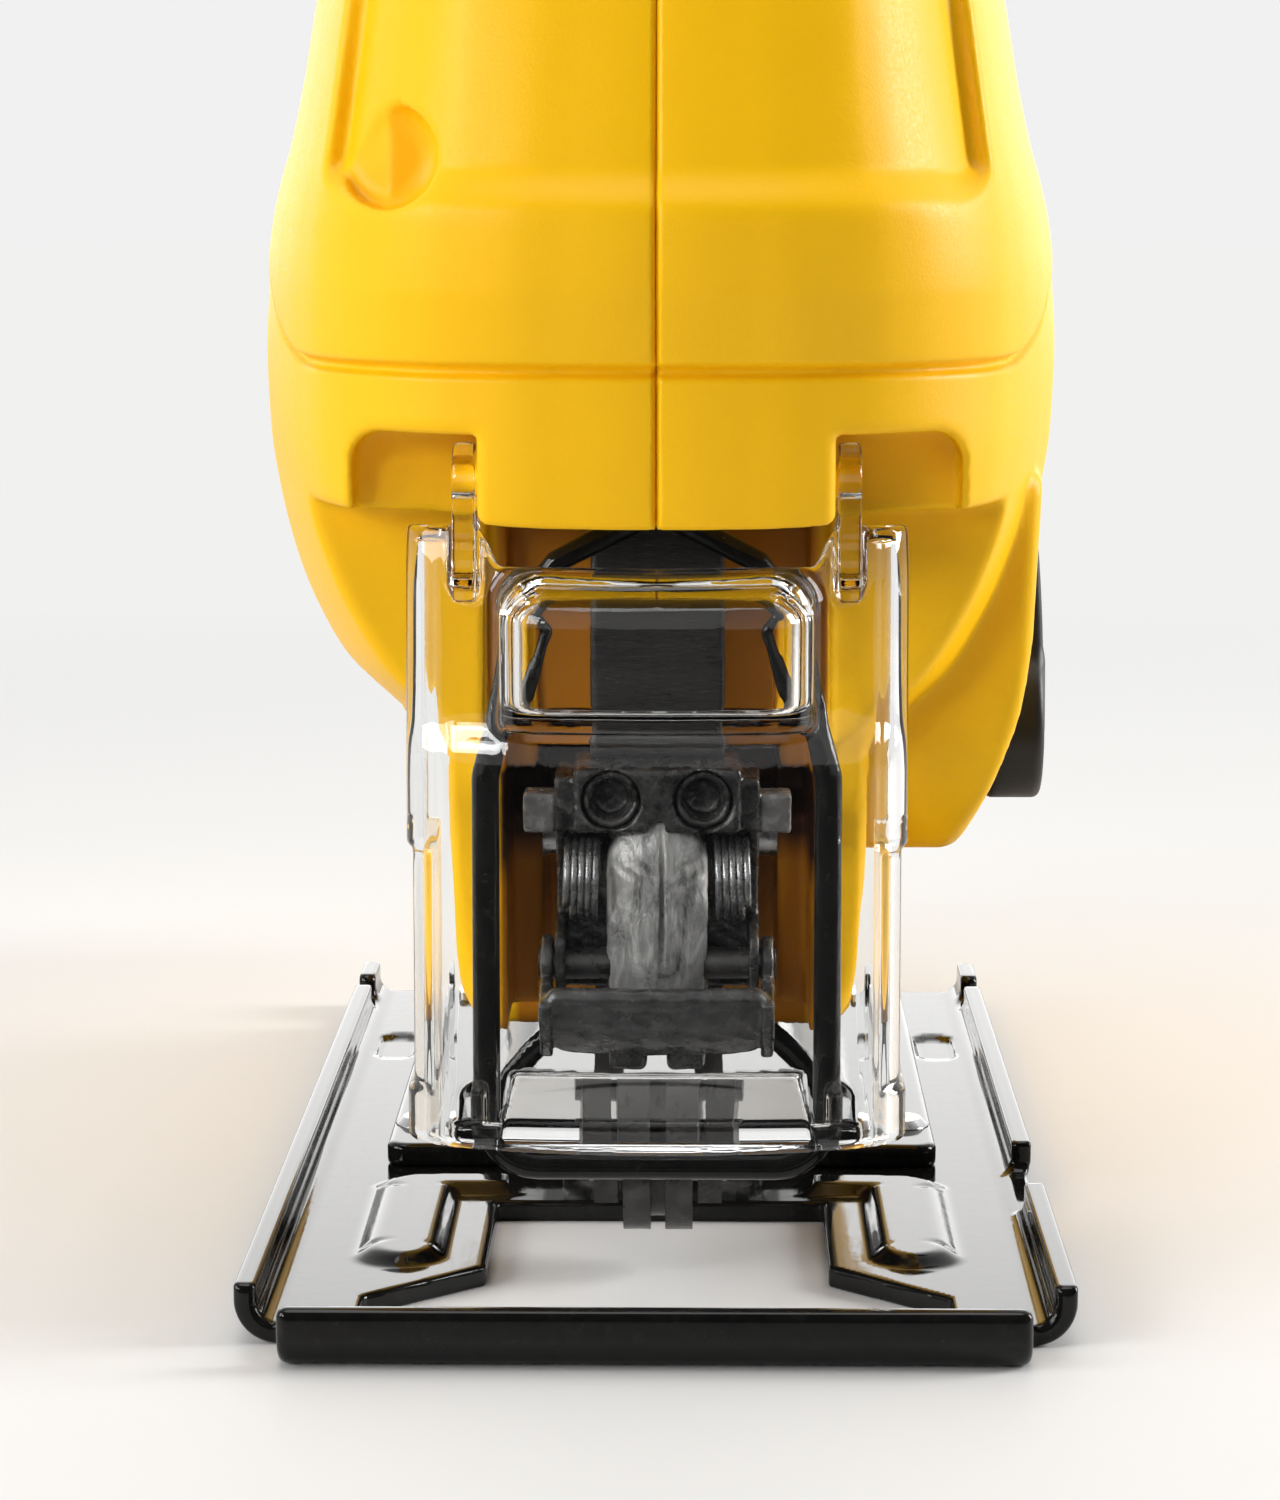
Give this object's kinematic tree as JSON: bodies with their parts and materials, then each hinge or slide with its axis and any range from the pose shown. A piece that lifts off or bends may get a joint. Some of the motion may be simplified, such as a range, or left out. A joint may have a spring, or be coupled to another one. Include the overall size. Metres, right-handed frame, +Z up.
{
  "type": "jigsaw",
  "caption": "Hand-held jigsaw with a D handle, tilting pressed sole, clear chip guard, wire finger guard, tool-free blade clamp and pendulum roller.",
  "frame": {"origin": "on the underside of the sole, at the line the blade runs on", "axes": "+X to the operator's left, nose towards -Y, +Z up along the blade"},
  "size_m": [0.0767, 0.2311, 0.1855],
  "materials": {
    "yellow_plastic": "fine texture",
    "black_paint": "gloss",
    "black_plastic": "satin",
    "rubber": "matt",
    "clear_plastic": "clear",
    "black_steel": "blackened",
    "steel": "brushed",
    "bronze": "sintered",
    "aluminium": "die cast",
    "lamination": "laminated",
    "copper": "enamelled",
    "brass": "satin",
    "carbon": "matt"
  },
  "bodies": {
    "base": {"base_plate": "black_paint", "base_bracket": "black_paint", "bracket_rivets": "steel"},
    "housing": {"right_housing": "yellow_plastic", "left_housing": "yellow_plastic", "housing_screws": "steel", "bevel_screw": "steel", "bevel_washer": "steel", "bevel_nut": "steel", "wire_guard": "black_paint", "lower_bush": "bronze", "upper_bush": "bronze", "gear_plate": "aluminium", "gear_axle": "steel", "front_bearing": "steel", "rear_bearing": "steel", "stator_core": "lamination", "field_coils": "copper", "brush_holders": "brass", "carbon_brushes": "carbon", "brush_springs": "steel", "pendulum_pin": "steel", "guard_pins": "steel", "switch_body": "black_plastic", "cord_gland": "rubber", "trigger_pin": "steel", "trigger_spring": "steel", "dial_pin": "steel"},
    "armature": {"armature_shaft": "steel", "armature_core": "lamination", "armature_winding": "copper", "commutator": "copper", "cooling_fan": "black_plastic"},
    "crank_gear": {"spur_gear": "steel", "crank_roller": "steel"},
    "plunger_unit": {"plunger": "black_steel", "yoke": "steel", "clamp_body": "black_steel", "clamp_screws": "black_steel", "blade_holder": "steel", "clamp_pin": "steel", "clamp_springs": "steel"},
    "clamp_lever": {"clamp_lever": "black_steel"},
    "guard": {"clear_guard": "clear_plastic"},
    "pendulum": {"pendulum_arm": "steel", "roller_pin": "steel"},
    "roller": {"roller": "steel"},
    "selector": {"selector_lever": "black_plastic", "selector_shaft": "steel"},
    "trigger": {"trigger": "black_plastic"},
    "lock_button": {"lock_button": "black_plastic"},
    "dial": {"speed_dial": "black_plastic"}
  },
  "joints": [
    {"name": "bevel_tilt", "type": "hinge", "parent": "base", "child": "housing", "pos_m": [0, 0.078, 0], "axis": [0, 1, 0], "range_deg": [-15, 15]},
    {"name": "armature_spin", "type": "hinge", "parent": "housing", "child": "armature", "pos_m": [0, 0.09, 0.064], "axis": [0, 1, 0], "continuous": true},
    {"name": "crank_gear_spin", "type": "hinge", "parent": "housing", "child": "crank_gear", "pos_m": [0, 0.017, 0.094], "axis": [0, 1, 0], "continuous": true},
    {"name": "plunger_stroke", "type": "slide", "parent": "housing", "child": "plunger_unit", "axis": [0, 0, 1], "range_m": [-0.002, 0.016]},
    {"name": "clamp_lever_swing", "type": "hinge", "parent": "plunger_unit", "child": "clamp_lever", "pos_m": [0, -0.0035, 0.0318], "axis": [1, 0, 0], "range_deg": [-60, 0], "stiffness_Nm_per_rad": 0.02, "springref_deg": 20.05},
    {"name": "guard_swing", "type": "hinge", "parent": "housing", "child": "guard", "pos_m": [0, -0.009, 0.077], "axis": [1, 0, 0], "range_deg": [-30, 0]},
    {"name": "pendulum_swing", "type": "hinge", "parent": "housing", "child": "pendulum", "pos_m": [0, 0.023, 0.04], "axis": [1, 0, 0], "range_deg": [-5, 0]},
    {"name": "roller_spin", "type": "hinge", "parent": "pendulum", "child": "roller", "pos_m": [0, 0.0065, 0.01], "axis": [1, 0, 0], "continuous": true},
    {"name": "selector_turn", "type": "hinge", "parent": "housing", "child": "selector", "pos_m": [0, 0.035, 0.0495], "axis": [1, 0, 0], "range_deg": [-75, 0]},
    {"name": "trigger_pull", "type": "hinge", "parent": "housing", "child": "trigger", "pos_m": [0, 0.0846, 0.1526], "axis": [1, 0, 0], "range_deg": [-6, 0], "stiffness_Nm_per_rad": 0.6, "springref_deg": 3.44, "deforming": ["trigger_spring"]},
    {"name": "lock_push", "type": "slide", "parent": "housing", "child": "lock_button", "axis": [-1, 0, 0], "range_m": [0, 0.0028], "stiffness_N_per_m": 250, "springref_m": -0.002},
    {"name": "dial_turn", "type": "hinge", "parent": "housing", "child": "dial", "pos_m": [0, 0.038, 0.175], "axis": [1, 0, 0], "range_deg": [0, 270]}
  ],
  "couplings": [
    {"joint": "crank_gear_spin", "follows": "armature_spin", "ratio": -0.2}
  ]
}
